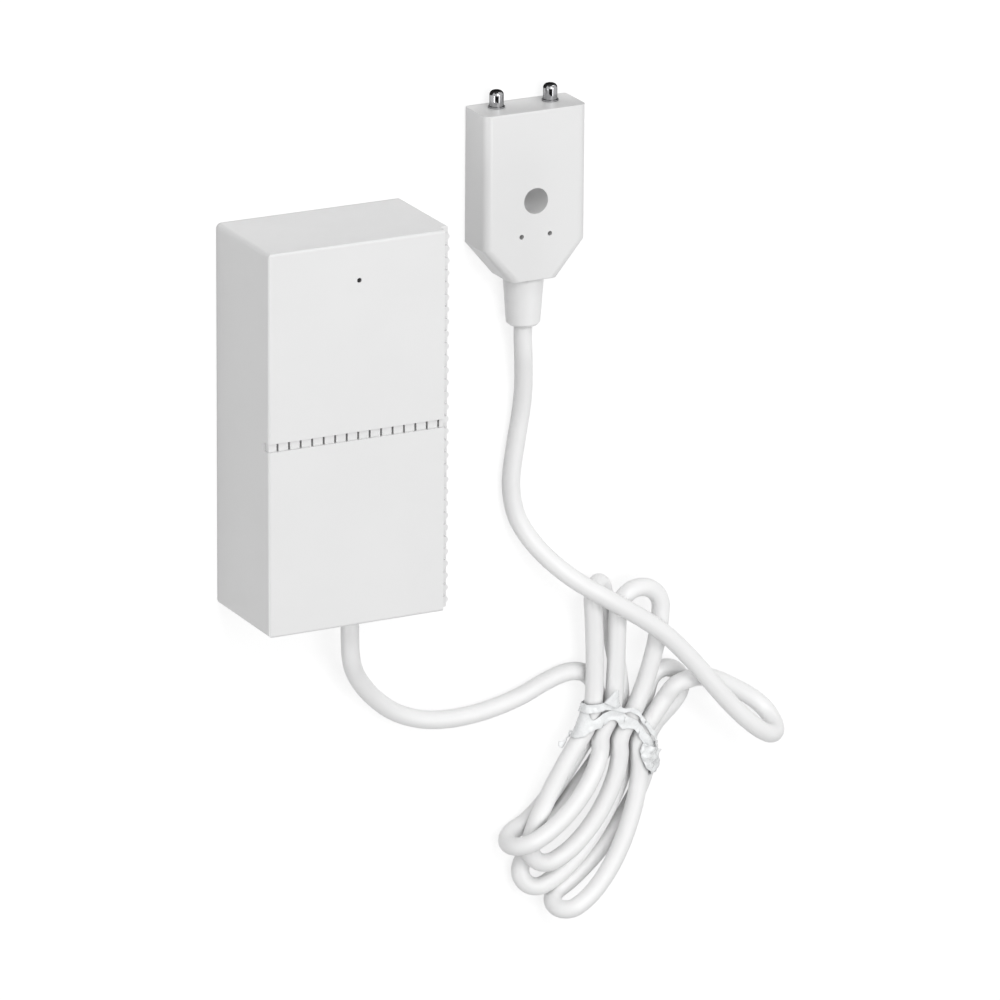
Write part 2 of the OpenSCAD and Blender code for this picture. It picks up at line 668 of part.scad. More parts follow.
module circuit_board() {
    color("darkgreen") difference() {
        translate([0, 0, board_z]) linear_extrude(board_t) polygon([
            [board_x0, board_y0], [board_edge, board_y0], [board_edge, board_high],
            [-board_edge, board_high], [-board_edge, board_wide_y], [board_x0, board_wide_y]
        ]);
        rod_z(wall_hole_x, wall_hole_pitch / 2, 0, box_d, board_access_d);
        for (p = post_spots) rod_z(p[0], p[1], 0, box_d, screw_d + 2 * bore_gap);
    }
}
module board_screws() {
    color("silver") for (p = post_spots) small_screw(p[0], p[1], board_top, base_t);
}
module radio_module() {
    color("silver") block(radio_spot[0] - radio_w / 2, radio_spot[0] + radio_w / 2,
        radio_spot[1] - radio_l / 2, radio_spot[1] + radio_l / 2, board_top, board_top + radio_h);
}
module antenna_wire() {
    x = board_edge - 0.8;
    y0 = board_wide_y + 2;
    y1 = board_high - 0.4;
    z = board_top + antenna_h;
    color("goldenrod") {
        rod_z(x, y0, board_top, z, antenna_d);
        translate([x, y0, z]) sphere(d = antenna_d);
        rod_y(x, y0, y1, z, antenna_d);
        translate([x, y1, z]) sphere(d = antenna_d);
        translate([-x, y1, z]) rotate([0, 90, 0]) cylinder(d = antenna_d, h = 2 * x);
    }
}
module processor_chip() {
    color("dimgray") block(chip_spot[0] - chip_w / 2, chip_spot[0] + chip_w / 2,
        chip_spot[1] - chip_w / 2, chip_spot[1] + chip_w / 2, board_top, board_top + chip_h);
}
module buffer_capacitor() {
    color("slategray") rod_z(cap_spot[0], cap_spot[1], board_top, board_top + cap_h, cap_d);
}
module status_lamp() {
    color("honeydew") block(pinhole_x - 1.6, pinhole_x + 1.6, pinhole_y - 1.4, pinhole_y + 1.4,
        board_top, board_top + lamp_h);
}
module learn_switch() {
    color("dimgray") difference() {
        block(button_spot[0] - switch_w / 2, button_spot[0] + switch_w / 2,
            button_spot[1] - switch_w / 2, button_spot[1] + switch_w / 2, board_top, board_top + switch_h);
        rod_z(button_spot[0], button_spot[1], board_top + 0.6, board_top + switch_h + 1, button_d + 2 * seat_gap);
    }
}
module learn_button() {
    color("white") rod_z(button_spot[0], button_spot[1], board_top + 0.6 + button_travel + seat_gap,
        board_top + switch_h + button_out, button_d);
}
module battery_cell() {
    color("steelblue") {
        rod_y(cell_x, cell_y0, cell_y1, cell_z, cell_d);
        rod_y(cell_x, cell_y1 - eps, cell_y1 + cell_tip_l, cell_z, cell_tip_d);
    }
}
module battery_cradle() {
    color("lightgray") {
        difference() {
            block(cell_x - cell_d / 2, board_x0 - cell_board_gap / 2, end_low - eps, end_high + eps,
                base_t, base_t + cradle_h);
            rod_y(cell_x, end_low - 1, end_high + 1, cell_z, cell_d + 2 * seat_gap);
        }
        for (y = [end_low - cradle_end_t, end_high])
            block(cell_x - cradle_end_w / 2, cell_x + cradle_end_w / 2, y, y + cradle_end_t,
                base_t, base_t + cradle_end_h);
    }
}
// Plate against a cradle wall, with a tab that reaches onto the board
module contact_plate(y) {
    block(cell_x - contact_w / 2, cell_x + contact_w / 2, y, y + contact_t, cell_z - contact_w / 2, cell_z + contact_w / 2);
    block(cell_x, board_x0 + tab_reach, y, y + contact_t, board_top, board_top + tab_h);
}
module contact_positive() {
    color("silver") {
        contact_plate(end_high - contact_t);
        rod_y(cell_x, cell_y1 + cell_tip_l, end_high - contact_t + eps, cell_z, contact_point_d);
    }
}
module contact_negative() {
    // Bowed leaf from the plate to the cell's flat end
    bow = (leaf_l * leaf_l / 4 + contact_room * contact_room) / (2 * contact_room);
    color("silver") {
        contact_plate(end_low);
        intersection() {
            translate([cell_x, cell_y0 - bow, cell_z]) rotate([0, 90, 0]) difference() {
                cylinder(r = bow, h = leaf_w, center = true);
                cylinder(r = bow - contact_t, h = leaf_w + 1, center = true);
            }
            block(cell_x - leaf_w, cell_x + leaf_w, end_low + contact_t - eps, cell_y0 + 1, cell_z - bow, cell_z + bow);
        }
    }
}
module terminal_block() {
    color("seagreen") difference() {
        block(board_mid - terminal_w / 2, board_mid + terminal_w / 2, terminal_y, terminal_y + terminal_l,
            board_top, board_top + terminal_h);
        for (s = [-1, 1]) {
            rod_y(board_mid + s * terminal_pitch / 2, terminal_y - 1, terminal_y + terminal_l - 2, terminal_z,
                conductor_d + 2 * seat_gap);
            rod_z(board_mid + s * terminal_pitch / 2, terminal_y + terminal_l / 2, board_top + terminal_h - 3,
                board_top + terminal_h + 1, terminal_screw_d + 2 * seat_gap);
        }
    }
}
module terminal_screws() {
    color("silver") for (s = [-1, 1]) difference() {
        rod_z(board_mid + s * terminal_pitch / 2, terminal_y + terminal_l / 2, board_top + terminal_h - 3,
            board_top + terminal_h - 0.4, terminal_screw_d);
        translate([board_mid + s * terminal_pitch / 2, terminal_y + terminal_l / 2, board_top + terminal_h])
            cube([terminal_screw_d + 1, 0.6, 2], center = true);
    }
}
module cable_grommet() {
    color("white") difference() {
        union() {
            rod_y(cable_x, bottom + wall + slide_gap, bottom + wall + slide_gap + flange_t, cable_z, flange_d);
            rod_y(cable_x, bottom - slide_gap - eps, bottom + wall + slide_gap + eps, cable_z, neck_d);
            cone_y(cable_x, box_exit[1], bottom - slide_gap, cable_z, boot_end_d, boot_d);
        }
        rod_y(cable_x, box_exit[1] - 1, bottom + wall + slide_gap + flange_t + 1, cable_z, cable_d + 2 * bore_gap);
    }
}
module cable_clamp() {
    color("gainsboro") difference() {
        block(cable_x - clamp_w / 2, cable_x + clamp_w / 2, clamp_y, clamp_y + clamp_l,
            cable_z + seat_gap, cable_z + clamp_t);
        rod_y(cable_x, clamp_y - 1, clamp_y + clamp_l + 1, cable_z, cable_d + 2 * bore_gap);
        for (s = [-1, 1]) rod_z(cable_x + s * clamp_pitch / 2, clamp_y + clamp_l / 2, 0, box_d, screw_d + 2 * bore_gap);
    }
}
module clamp_screws() {
    color("silver") for (s = [-1, 1])
        small_screw(cable_x + s * clamp_pitch / 2, clamp_y + clamp_l / 2, cable_z + clamp_t, base_t + 1);
}
module cord_box_end() {
    color("whitesmoke") rod_y(cable_x, box_exit[1], jacket_y, cable_z, cable_d);
}
// Conductor from the end of the jacket into its terminal
module conductor(s) {
    x0 = cable_x + s * (conductor_d / 2 + seat_gap);
    x1 = board_mid + s * terminal_pitch / 2;
    y1 = terminal_y + terminal_l - 3;
    run = terminal_y - jacket_y;
    pts = concat(
        [[x0, jacket_y, cable_z], [x0, jacket_y + 0.6, cable_z]],
        [for (i = [1 : 5]) let (u = i / 6, e = u * u * (3 - 2 * u))
            [x0 + (x1 - x0) * e, jacket_y + 0.6 + (run - 1.2) * u, cable_z + (terminal_z - cable_z) * e]],
        [[x1, terminal_y - 0.6, terminal_z], [x1, y1, terminal_z]]
    );
    tube(pts, conductor_d, 8);
}
module conductor_a() {
    color("firebrick") conductor(-1);
}
module conductor_b() {
    color("dimgray") conductor(1);
}

// The free cable and its hank

module cord_box_side() {
    color("whitesmoke") tube(box_cord, cable_d, 8);
}
module cord_hank() {
    color("whitesmoke") tube(hank_points(run_rings, fold_rings, pass_rings), cable_d, 6);
}
module cord_probe_side() {
    color("whitesmoke") tube(probe_cord, cable_d, 8);
}
// Flat band round the four corner strands of the bundle
tie_corners = [
    [strand_across([0, 0]), strand_low], [strand_across([0, 3]), strand_low],
    [strand_across([1, 3]), strand_top], [strand_across([1, 0]), strand_top]
];
function tie_normal(k) =
    let (d = tie_corners[(k + 1) % 4] - tie_corners[k]) atan2(d[1], d[0]) - 90;
function tie_line(r, steps) = [
    for (k = [0 : 3])
        let (a = tie_normal((k + 3) % 4), turn = (tie_normal(k) - a + 720) % 360)
            for (i = [0 : steps]) tie_corners[k] + r * [cos(a + turn * i / steps), sin(a + turn * i / steps)]
];
module hank_tie() {
    r = cable_d / 2 + seat_gap;
    color("white") translate([hank_x, hank_y, 0]) rotate([90, 0, -hank_turn])
        linear_extrude(tie_w, center = true) difference() {
            polygon(tie_line(r + tie_t, 5));
            polygon(tie_line(r, 5));
        }
}

// The probe, drawn with its narrow end on the line Y = 0

module placed() {
    translate([probe_x, probe_y, 0]) children();
}
module probe_outside() {
    run = probe_w / 2 - probe_tip_w / 2;
    lean = atan2(run, -probe_taper);
    intersection() {
        translate([0, probe_h / 2, 0]) rotate([90, 0, 0])
            linear_extrude(probe_h, center = true) band(probe_w, probe_t, probe_r, probe_rear_r);
        translate([0, probe_h / 2, 0]) rotate([90, 0, 90])
            linear_extrude(probe_w + 2, center = true) arch(probe_h, probe_t, probe_end_r);
        // Tapered sides, rounded along their edges as well
        for_both() translate([probe_w / 2, probe_taper, 0]) rotate([0, 0, lean])
            rotate([90, 0, 0]) linear_extrude(6 * probe_h, center = true)
                translate([2 * probe_h, 0]) band(4 * probe_h, probe_t, probe_r, probe_rear_r);
    }
}
// The child and its mirror image, cut to what both share
module for_both() {
    intersection() {
        children();
        mirror([1, 0, 0]) children();
    }
}
module probe_room(gap, z0, z1) {
    w = probe_w / 2 - probe_wall - gap;
    tip = probe_tip_w / 2 - 0.6 - gap;
    y0 = probe_wall + gap;
    y1 = probe_h - probe_wall - gap;
    knee = probe_taper + 0.6;
    translate([0, 0, z0]) linear_extrude(z1 - z0)
        polygon([[-tip, y0], [tip, y0], [w, knee], [w, y1], [-w, y1], [-w, knee]]);
}
module probe_shell() {
    color("whitesmoke") placed() difference() {
        union() {
            difference() {
                probe_outside();
                probe_room(0, -1, probe_front_in);
            }
            rod_z(0, probe_hole_y, 0, probe_front_in + eps, probe_hole_d + 2 * probe_tube_wall);
            for (s = [-1, 1]) rod_z(s * core_pitch / 2, core_y, plate_t + seat_gap, probe_front_in + eps, core_d + 2.2);
        }
        rod_z(0, probe_hole_y, -1, probe_t + 1, probe_hole_d);
        for (s = [-1, 1]) {
            rod_z(s * core_pitch / 2, core_y, probe_t - core_depth, probe_t + 1, core_d);
            rod_y(s * pin_pitch / 2, probe_h - probe_wall - 1, probe_h + 1, pin_z, pin_d + 2 * bore_gap);
        }
        rod_y(0, -1, probe_wall + 1, lead_z, relief_neck_d + 2 * bore_gap);
    }
}
module probe_back_plate() {
    color("whitesmoke") placed() difference() {
        probe_room(seat_gap, 0, plate_t);
        rod_z(0, probe_hole_y, -1, plate_t + 1, probe_hole_d + 2 * probe_tube_wall + 2 * seat_gap);
    }
}
module pin_carrier() {
    color("lightgray") placed() difference() {
        block(-carrier_w / 2, carrier_w / 2, carrier_y0, carrier_y1, plate_t + seat_gap, probe_front_in - seat_gap);
        for (s = [-1, 1]) rod_y(s * pin_pitch / 2, carrier_y0 - 1, carrier_y1 + 1, pin_z, pin_d + 2 * bore_gap);
    }
}
module electrode(s) {
    r = pin_d / 2;
    l = probe_h + pin_out - pin_inner;
    color("silver") placed() translate([s * pin_pitch / 2, pin_inner, pin_z]) rotate([-90, 0, 0]) {
        rotate_extrude() {
            square([r, l - pin_tip_r]);
            square([r - pin_tip_r, l]);
            translate([r - pin_tip_r, l - pin_tip_r]) intersection() {
                circle(pin_tip_r);
                translate([0, -pin_tip_r]) square(2 * pin_tip_r);
            }
        }
        translate([0, 0, probe_h + bore_gap - pin_inner]) cylinder(d = pin_collar_d, h = pin_collar_t);
    }
}
module electrode_left() {
    electrode(-1);
}
module electrode_right() {
    electrode(1);
}
// Wire from the end of the jacket to a pin, below the core holes and past the tube of the screw hole
module probe_wire(s) {
    x0 = conductor_d / 2 + seat_gap;
    x1 = pin_pitch / 2;
    y0 = probe_jacket_y + 0.5;
    rise = core_y - y0;
    pts = concat(
        [[s * x0, probe_jacket_y, lead_z]],
        [
            for (i = [0 : 8]) let (u = i / 8, e = u * u * (3 - 2 * u))
                [s * (x0 + (x1 - x0) * e), y0 + rise * u, lead_z - pin_drop * e]
        ],
        [[s * x1, probe_hole_y, pin_z], [s * x1, pin_inner - 1, pin_z], [s * x1, pin_inner, pin_z]]
    );
    color("firebrick") placed() tube(pts, conductor_d, 8);
}
module probe_wire_left() {
    probe_wire(-1);
}
module probe_wire_right() {
    probe_wire(1);
}
module probe_strain_relief() {
    color("whitesmoke") placed() difference() {
        union() {
            cone_y(0, relief_chamfer - seat_gap - relief_l, -seat_gap, lead_z, relief_end_d, relief_d);
            cone_y(0, -seat_gap - relief_l, relief_chamfer - seat_gap - relief_l, lead_z,
                relief_end_d - 2 * relief_chamfer, relief_end_d);
            rod_y(0, -seat_gap - eps, probe_wall + seat_gap + eps, lead_z, relief_neck_d);
            rod_y(0, probe_wall + seat_gap, probe_wall + seat_gap + relief_flange_t, lead_z, relief_flange_d);
        }
        rod_y(0, -relief_l - 1, probe_h / 2, lead_z, cable_d + 2 * bore_gap);
    }
}
module cord_probe_end() {
    color("whitesmoke") placed() rod_y(0, -seat_gap - relief_l, probe_jacket_y, lead_z, cable_d);
}

front_cover();
light_guide();
rear_base();
circuit_board();
board_screws();
radio_module();
antenna_wire();
processor_chip();
buffer_capacitor();
status_lamp();
learn_switch();
learn_button();
battery_cell();
battery_cradle();
contact_positive();
contact_negative();
terminal_block();
terminal_screws();
cable_grommet();
cable_clamp();
clamp_screws();
cord_box_end();
conductor_a();
conductor_b();
cord_box_side();
cord_hank();
cord_probe_side();
hank_tie();
cord_probe_end();
probe_strain_relief();
probe_shell();
probe_back_plate();
pin_carrier();
electrode_left();
electrode_right();
probe_wire_left();
probe_wire_right();
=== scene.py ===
"""Water leak sensor: cable, tie, materials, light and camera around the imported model.

Names that end in _MM, and the cable's points, are in millimetres in the row frame. The rest is in metres.
"""
import json
import math

import bmesh
import bpy
from mathutils import Matrix, Vector, kdtree, noise


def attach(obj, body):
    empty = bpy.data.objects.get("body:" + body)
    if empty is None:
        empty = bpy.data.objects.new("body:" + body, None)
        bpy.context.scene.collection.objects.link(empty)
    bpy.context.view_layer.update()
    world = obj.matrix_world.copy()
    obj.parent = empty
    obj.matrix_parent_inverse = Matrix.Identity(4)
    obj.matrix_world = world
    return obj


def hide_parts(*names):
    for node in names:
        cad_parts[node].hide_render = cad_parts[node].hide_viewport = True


MM = 0.001
UP = Vector((0, 0, 1))

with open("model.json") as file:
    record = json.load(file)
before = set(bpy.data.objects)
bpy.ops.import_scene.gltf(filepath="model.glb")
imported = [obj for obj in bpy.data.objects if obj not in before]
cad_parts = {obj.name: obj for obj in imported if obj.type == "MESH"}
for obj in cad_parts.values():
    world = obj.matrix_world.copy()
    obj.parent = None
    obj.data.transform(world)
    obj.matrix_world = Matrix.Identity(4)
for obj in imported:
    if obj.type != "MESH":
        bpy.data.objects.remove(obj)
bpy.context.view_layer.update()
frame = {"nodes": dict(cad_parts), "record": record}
scene = bpy.context.scene
nodes = frame["nodes"]
scene.view_settings.view_transform = "Standard"


# Camera, at the photograph's place

EYE_MM = (-745.646, 550.159, 1540.923)
VIEW_RIGHT = (0.891110, 0.006934, 0.453735)
VIEW_UP = (0.137699, 0.948607, -0.284929)
VIEW_BACK = (-0.432392, 0.316382, 0.844358)
FIELD_OF_VIEW = math.radians(6.4)

camera_data = bpy.data.cameras.new("camera")
camera_data.sensor_fit = "HORIZONTAL"
camera_data.angle = FIELD_OF_VIEW
camera_data.clip_start = 0.05
camera_data.clip_end = 20
camera = bpy.data.objects.new("camera", camera_data)
camera.matrix_world = (
    Matrix.Translation(Vector(EYE_MM) * MM)
    @ Matrix((VIEW_RIGHT, VIEW_UP, VIEW_BACK)).transposed().to_4x4()
)
scene.collection.objects.link(camera)
scene.camera = camera


# Cable: one line from the box, through the hank, to the probe

CABLE_D_MM = 3.8
BOX_EXIT_MM = (5, -44.2, 9)
PROBE_ENTRY_MM = (46.2, 11.5, 4.25)
BOX_ROUTE_MM = [
    (5, -48, 9), (5.5, -52.5, 8.4), (7, -56.5, 7), (10, -60.8, 5.2), (14, -65, 3.4),
    (19, -68.8, 2.3), (25, -71.2, 2.2), (31, -72, 2.2), (37, -71.8, 2.2), (43, -70.8, 2.2),
    (48, -69.4, 2.2), (52.4, -67.6, 2.2), (56, -66.4, 2.2), (59, -66, 2.2), (61.8, -66.6, 2.4),
]
PROBE_ROUTE_MM = [
    (80.6, -70.8, 7.4), (84.4, -70, 6.9), (88.5, -70.9, 4.8), (92.5, -72.6, 2.9), (97.6, -75.6, 2.2),
    (102, -78.6, 2.2), (104.2, -80.8, 3.1), (104.9, -82.8, 5.3), (104.1, -84, 8.1),
    (101.9, -83.8, 10.3), (99, -82.2, 11.2), (95, -78.8, 11.6), (91, -74.6, 11.6),
    (87, -69.8, 11.6), (82, -63.8, 11.6), (76.5, -58, 11.6), (71, -53.6, 11.5), (66, -50.2, 11.4),
    (61.5, -47.2, 10.9), (57, -44.2, 9.6), (53.4, -41.2, 7.8), (50.4, -38, 5.8), (48, -34.6, 4),
    (46.2, -31, 2.8), (45.2, -27.2, 2.3), (44.8, -23, 2.2), (45.2, -18.6, 2.2), (46, -13.6, 2.2),
    (46.8, -8.6, 2.3), (47.1, -3.6, 2.8), (46.8, 1.2, 3.5), (46.4, 5, 4.1), (46.2, 8, 4.25),
]
HANK_MIDDLE_MM = (69.2, -79.2)
TIE_HALF_MM = 3.5
# Degrees: turn of the hank's axis from +Y, headings of the cable into and out of the hank
HANK_TURN = 22
HANK_IN = 288
HANK_OUT = 52
# Lower layer, upper layer
STRAND_Z_MM = (2.5, 6.7)
STRAND_PITCH_MM = (4.9, 4.8)
STRAND_LEAN_MM = (2.1, -2.1)
# Strand out, strand back, side of the tie, middle of the fold, its heading, roll, radius and sweep,
# headings at the tie, pulls of the two runs
HANK_LOOPS = [
    ((0, 0), (1, 1), -1, (46.9, -98.4, 6.5), 203, 90, 4.3, 180, (227, 276), (14, 24, 28, 18)),
    ((1, 1), (1, 2), 1, (72.3, -53.2, 6.9), 88, 180, 5, 180, (80, 60), (16, 16, 22, 20)),
    ((1, 2), (1, 0), -1, (51.8, -101.2, 6.6), 230, 180, 4.2, 120, (278, 233), (18, 30, 16, 20)),
    ((1, 0), (0, 1), 1, (63.9, -50, 4.7), 96, 222, 3.2, 180, (82, 72), (14, 14, 14, 14)),
    ((0, 1), (0, 2), -1, (50.8, -107.9, 3.4), 222, 16, 3.5, 140, (246, 268), (24, 20, 28, 28)),
    ((0, 2), (0, 3), 1, (80.8, -72.4, 2.4), 76, 180, 3.9, 180, (64, 44), (6, 6, 8, 9)),
    ((0, 3), (1, 3), -1, (57.2, -114.2, 5.7), 206, 72, 3.4, 180, (282, 283), (26, 24, 32, 24)),
]
RUN_STEPS = 26
FOLD_STEPS = 24
PASS_STEPS = 8
FREE_STEPS = 8


def along(degrees):
    return Vector((math.cos(math.radians(degrees)), math.sin(math.radians(degrees)), 0))


HANK_AXIS = along(90 - HANK_TURN)
HANK_ACROSS = along(-HANK_TURN)


def hermite(p0, t0, p1, t1, u):
    return (
        (2 * u**3 - 3 * u**2 + 1) * p0
        + (u**3 - 2 * u**2 + u) * t0
        + (3 * u**2 - 2 * u**3) * p1
        + (u**3 - u**2) * t1
    )


def strand_across(layer, column):
    return (column - 1.5) * STRAND_PITCH_MM[layer] + STRAND_LEAN_MM[layer]


def strand(place, side):
    layer, column = place
    middle = Vector((*HANK_MIDDLE_MM, STRAND_Z_MM[layer]))
    return middle + strand_across(layer, column) * HANK_ACROSS + side * TIE_HALF_MM * HANK_AXIS


def loop_points(loop):
    """A run out of the tie, round a fold, and back to the tie."""
    out, back, side, middle, heading, roll, radius, sweep, tie_headings, pulls = loop
    middle = Vector(middle)
    ahead = along(heading)
    beside = math.cos(math.radians(roll)) * along(heading + 90) + math.sin(math.radians(roll)) * UP

    def fold(degrees):
        t = math.radians(degrees)
        point = middle + radius * (math.sin(t) * ahead - math.cos(t) * beside)
        return point, math.cos(t) * ahead + math.sin(t) * beside

    start = 90 - sweep / 2
    first, first_heading = fold(start)
    last, last_heading = fold(start + sweep)
    leave = pulls[0] * along(tie_headings[0])
    enter = -pulls[3] * along(tie_headings[1])
    points = [
        hermite(strand(out, side), leave, first, pulls[1] * first_heading, i / RUN_STEPS)
        for i in range(RUN_STEPS)
    ]
    points += [fold(start + sweep * i / FOLD_STEPS)[0] for i in range(FOLD_STEPS)]
    points += [
        hermite(last, pulls[2] * last_heading, strand(back, side), enter, i / RUN_STEPS)
        for i in range(RUN_STEPS)
    ]
    return points


def pass_points(p0, h0, p1, h1):
    pull = 2 * TIE_HALF_MM
    return [hermite(p0, pull * h0, p1, pull * h1, i / PASS_STEPS) for i in range(PASS_STEPS)]


def hank_points():
    points = []
    at = strand(HANK_LOOPS[0][0], 1)
    heading = along(HANK_IN)
    for loop in HANK_LOOPS:
        out, back, side, tie_headings = loop[0], loop[1], loop[2], loop[8]
        points += pass_points(at, heading, strand(out, side), along(tie_headings[0]))
        points += loop_points(loop)
        at = strand(back, side)
        heading = -along(tie_headings[1])
    finish = strand(HANK_LOOPS[-1][1], 1)
    points += pass_points(at, heading, finish, along(HANK_OUT))
    return points + [finish]


def smooth_line(points, steps):
    """Centripetal curve through the points, with steps parts in each span."""
    points = [Vector(p) for p in points]
    ends = [2 * points[0] - points[1]] + points + [2 * points[-1] - points[-2]]
    line = []
    for p0, p1, p2, p3 in zip(ends, ends[1:], ends[2:], ends[3:]):
        d1, d2, d3 = ((b - a).length ** 0.5 for a, b in ((p0, p1), (p1, p2), (p2, p3)))
        t1 = d2 * ((p1 - p0) / d1 - (p2 - p0) / (d1 + d2) + (p2 - p1) / d2)
        t2 = d2 * ((p2 - p1) / d2 - (p3 - p1) / (d2 + d3) + (p3 - p2) / d3)
        line += [hermite(p1, t1, p2, t2, i / steps) for i in range(steps)]
    return line + [points[-1]]


def cable_points():
    start = strand(HANK_LOOPS[0][0], 1)
    finish = strand(HANK_LOOPS[-1][1], 1)
    box_joint = start - CABLE_D_MM * along(HANK_IN)
    probe_joint = finish + CABLE_D_MM * along(HANK_OUT)
    box_side = [BOX_EXIT_MM, *BOX_ROUTE_MM, box_joint - 2 * along(HANK_IN), box_joint]
    probe_side = [probe_joint, probe_joint + 2 * along(HANK_OUT), *PROBE_ROUTE_MM, PROBE_ENTRY_MM]
    return (
        smooth_line(box_side, FREE_STEPS)
        + hank_points()
        + smooth_line(probe_side, FREE_STEPS)
    )


def line_length(points):
    return sum((b - a).length for a, b in zip(points, points[1:]))


def make_cable():
    points = cable_points()
    data = bpy.data.curves.new("cable", "CURVE")
    data.dimensions = "3D"
    data.twist_mode = "MINIMUM"
    # The points' radii are multiples of this depth, so they are the cable's own radius
    data.bevel_depth = 1
    data.bevel_resolution = 8
    data.use_fill_caps = True
    spline = data.splines.new("POLY")
    spline.points.add(len(points) - 1)
    for target, point in zip(spline.points, points):
        target.co = (*(point * MM), 1)
        target.radius = CABLE_D_MM / 2 * MM
    spline.use_smooth = True
    obj = bpy.data.objects.new("cable", data)
    scene.collection.objects.link(obj)
    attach(obj, "base")
    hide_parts("cord_box_side", "cord_hank", "cord_probe_side")
    return obj


cable = make_cable()


# Tie: crinkled film wound twice round the strands

FILM_T_MM = 0.14
FILM_GAP_MM = 0.12
FILM_STEP_MM = 0.3
FILM_ROWS = 12
# Rounds of smoothing, and each round's move towards the neighbours' mean, inside and on the edges
FILM_ROUNDS = 10
FILM_SLACK = 0.5
FILM_EDGE_SLACK = 0.1
# Nearest to the cable's middle that the film's middle comes
FILM_CLEAR_MM = CABLE_D_MM / 2 + FILM_GAP_MM
FLOOR_CLEAR_MM = 0.12
TIE_CORNERS = ((0, 0), (0, 3), (1, 3), (1, 0))
# How far the windings slip down the hank's axis for each millimetre below the upper strands
FILM_SLANT = 0.25
# Lower and upper edge of each sheet along the hank's axis, by place across the hank
FIRST_LOW = (
    (-11.6, -4.4), (-10.2, -3.4), (-8.6, -1.4), (-7, -0.4), (-6.2, 0.6), (-5.4, 1.8), (-4.5, 2.1),
    (-3.5, 1.6), (-2.6, 0.7), (-1.9, 0.4), (-0.3, 1.1), (0.9, 1.2), (2.2, 0.3), (3.4, -0.7),
    (5, -1.6), (8, -2.4), (12, -3),
)
FIRST_HIGH = (
    (-11.6, 2.8), (-10.8, 2.6), (-10, 1.1), (-9.2, 0.8), (-8.4, 1.6), (-7.6, 3), (-5.5, 4.1),
    (-3.4, 4.2), (-1.3, 3.5),
    (0.6, 3.3), (2.2, 2.5), (4.4, 1), (6, 0.2), (8, -0.4), (12, -1),
)
SECOND_LOW = (
    (-11.6, 1.6), (-9.4, 2.5), (-7.5, 3.7), (-5.5, 4), (-3.3, 4), (-1.7, 4.6), (0.2, 4.3),
    (2.4, 2.8), (5.5, 1), (7.9, -1), (10.6, -3.7), (12, -4.9),
)
SECOND_HIGH = (
    (-11.6, 3.6), (-9.4, 4.6), (-7.5, 5.7), (-5.5, 5.5), (-3.3, 5), (-1.7, 5.6), (0.2, 5.3),
    (2.4, 3.8), (5.5, 2.1), (7.9, 0.1), (10.6, -2.6), (12, -3.8),
)
PATCH_LOW = ((3.9, -2.8), (5.2, -4.6), (6.6, -6.2), (8.4, -7.6), (10.2, -8.2), (12, -6.6))
PATCH_HIGH = ((3.9, -1), (6, -1.1), (9, -1.5), (12, -2.4))
PATCH_HEIGHT = ((3.9, 8.7), (6.4, 8.9), (8, 7.6), (10, 5.4), (12, 3.2))
PATCH_COLUMNS = 26
# Ear and tail, by place across the hank, height, and place along the hank's axis
EAR_LEFT_MM = (-8.7, 9, 4.8)
EAR_RIGHT_MM = (-4.6, 9.1, 4.8)
EAR_TIP_MM = (-7.7, 10.9, 9.2)
EAR_ARCH_MM = 1.5
EAR_COLUMNS = 12
EAR_ROWS = 10
# Share of the way to its tip at which the ear ends
EAR_END = 0.9
TAIL_LINE_MM = [
    (-11, 5.6, -3), (-11.1, 5.5, -4.4), (-11.4, 5.4, -5.4), (-11.9, 5.3, -6.2), (-12.2, 5.2, -7),
]
TAIL_WIDTHS_MM = (1.4, 1, 1, 2.2, 1.4)
TAIL_SIDE = (0.2 * HANK_AXIS - 0.83 * HANK_ACROSS - 0.45 * UP).normalized()
TAIL_STEPS = 6
# How far from the tie's middle the cable's line is searched, and points in each of its steps
TREE_REACH_MM = 22
TREE_PARTS = 4


def tie_point(across, height, ahead):
    """A point by its place across the hank, its height, and its place along the hank's axis."""
    return Vector((*HANK_MIDDLE_MM, height)) + across * HANK_ACROSS + ahead * HANK_AXIS


def tie_ring(room):
    """Closed line round the four corner strands, as (across, height) in order."""
    corners = [Vector((strand_across(*c), STRAND_Z_MM[c[0]])) for c in TIE_CORNERS]
    radius = CABLE_D_MM / 2 + room
    ring = []
    for k, corner in enumerate(corners):
        before = corner - corners[k - 1]
        after = corners[(k + 1) % 4] - corner
        first = math.atan2(-before.x, before.y)
        turn = (math.atan2(-after.x, after.y) - first) % (2 * math.pi)
        count = max(2, round(radius * turn / FILM_STEP_MM))
        for i in range(count):
            angle = first + turn * i / count
            ring.append(corner + radius * Vector((math.cos(angle), math.sin(angle))))
        outward = Vector((after.y, -after.x)).normalized()
        count = round(after.length / FILM_STEP_MM)
        ring += [corner + after * i / count + radius * outward for i in range(count)]
    return ring


def between(table, x):
    """Value at x on a table of (x, value) rows, level beyond its ends."""
    if x <= table[0][0]:
        return table[0][1]
    for (x0, y0), (x1, y1) in zip(table, table[1:]):
        if x <= x1:
            u = (x - x0) / (x1 - x0)
            return y0 + (y1 - y0) * u * u * (3 - 2 * u)
    return table[-1][1]


def spaced(low, high, count):
    return [low + (high - low) * i / count for i in range(count + 1)]


def winding_grid(room, low, high):
    grid = []
    for p in tie_ring(room):
        slip = FILM_SLANT * max(0, STRAND_Z_MM[1] - p.y)
        edge = spaced(between(low, p.x) - slip, between(high, p.x) - slip, FILM_ROWS)
        grid.append([tie_point(p.x, p.y, h) for h in edge])
    return grid


